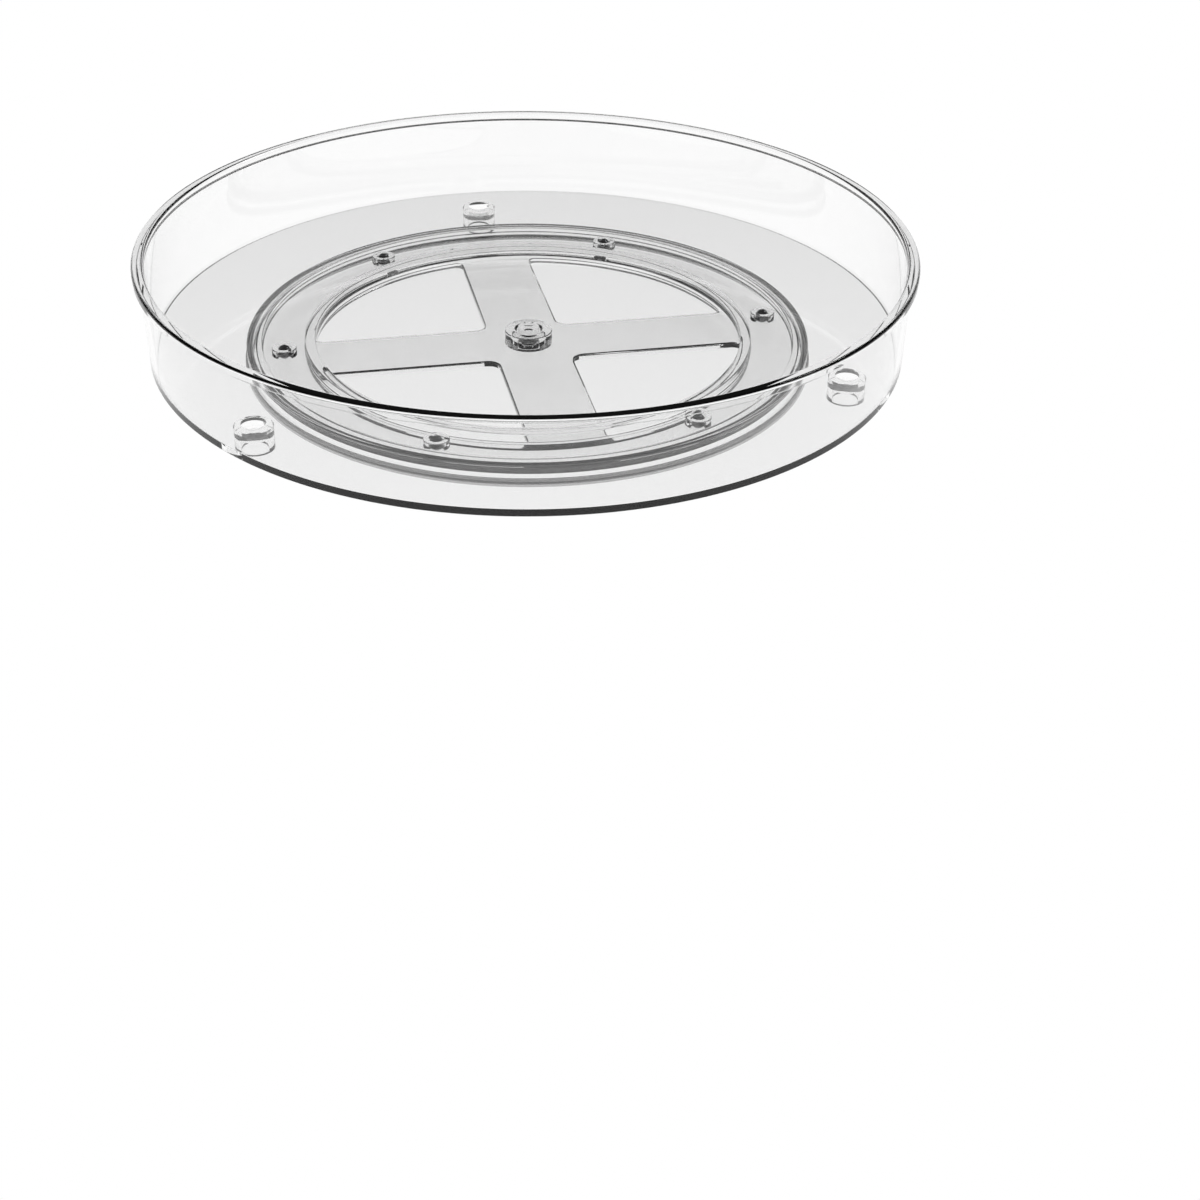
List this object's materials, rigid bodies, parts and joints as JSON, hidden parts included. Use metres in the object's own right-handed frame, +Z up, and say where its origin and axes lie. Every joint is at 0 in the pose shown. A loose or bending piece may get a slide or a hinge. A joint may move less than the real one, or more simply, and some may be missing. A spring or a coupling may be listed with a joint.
{
  "type": "lazy susan turntable",
  "caption": "Clear plastic round tray with a raised rim that turns on a ball bearing over a low stepped base ring with a cross.",
  "frame": {"origin": "on the table, under the middle of the base", "axes": "+Z up, along the axis the tray turns about; +X along one spoke of the base's cross"},
  "size_m": [0.28, 0.28, 0.0442],
  "materials": {
    "clear_tray": "clear polished moulding",
    "clear_button": "clear polished moulding",
    "clear_base": "clear polished moulding",
    "soft_grip": "clear soft elastomer, satin",
    "ball_steel": "polished bearing steel"
  },
  "bodies": {
    "stand": {"base": "clear_base", "grip_ring": "soft_grip"},
    "turning_tray": {"tray": "clear_tray", "pivot_button": "clear_button"},
    "ball_1": {"bearing_ball_1": "ball_steel"},
    "ball_2": {"bearing_ball_2": "ball_steel"},
    "ball_3": {"bearing_ball_3": "ball_steel"},
    "ball_4": {"bearing_ball_4": "ball_steel"},
    "ball_5": {"bearing_ball_5": "ball_steel"},
    "ball_6": {"bearing_ball_6": "ball_steel"}
  },
  "joints": [
    {"name": "tray_spin", "type": "hinge", "parent": "stand", "child": "turning_tray", "pos_m": [0, 0, 0.0089], "axis": [0, 0, 1], "continuous": true},
    {"name": "ball_1_roll", "type": "hinge", "parent": "stand", "child": "ball_1", "pos_m": [0.08955, 0, 0.00622], "axis": [1, 0, 0], "continuous": true},
    {"name": "ball_2_roll", "type": "hinge", "parent": "stand", "child": "ball_2", "pos_m": [0.04478, 0.07755, 0.00622], "axis": [0.5, 0.866, 0], "continuous": true},
    {"name": "ball_3_roll", "type": "hinge", "parent": "stand", "child": "ball_3", "pos_m": [-0.04478, 0.07755, 0.00622], "axis": [-0.5, 0.866, 0], "continuous": true},
    {"name": "ball_4_roll", "type": "hinge", "parent": "stand", "child": "ball_4", "pos_m": [-0.08955, 0, 0.00622], "axis": [-1, 0, 0], "continuous": true},
    {"name": "ball_5_roll", "type": "hinge", "parent": "stand", "child": "ball_5", "pos_m": [-0.04478, -0.07755, 0.00622], "axis": [-0.5, -0.866, 0], "continuous": true},
    {"name": "ball_6_roll", "type": "hinge", "parent": "stand", "child": "ball_6", "pos_m": [0.04478, -0.07755, 0.00622], "axis": [0.5, -0.866, 0], "continuous": true}
  ],
  "couplings": [
    {"joint": "ball_1_roll", "follows": "tray_spin", "ratio": -37.626},
    {"joint": "ball_2_roll", "follows": "tray_spin", "ratio": -37.626},
    {"joint": "ball_3_roll", "follows": "tray_spin", "ratio": -37.626},
    {"joint": "ball_4_roll", "follows": "tray_spin", "ratio": -37.626},
    {"joint": "ball_5_roll", "follows": "tray_spin", "ratio": -37.626},
    {"joint": "ball_6_roll", "follows": "tray_spin", "ratio": -37.626}
  ]
}
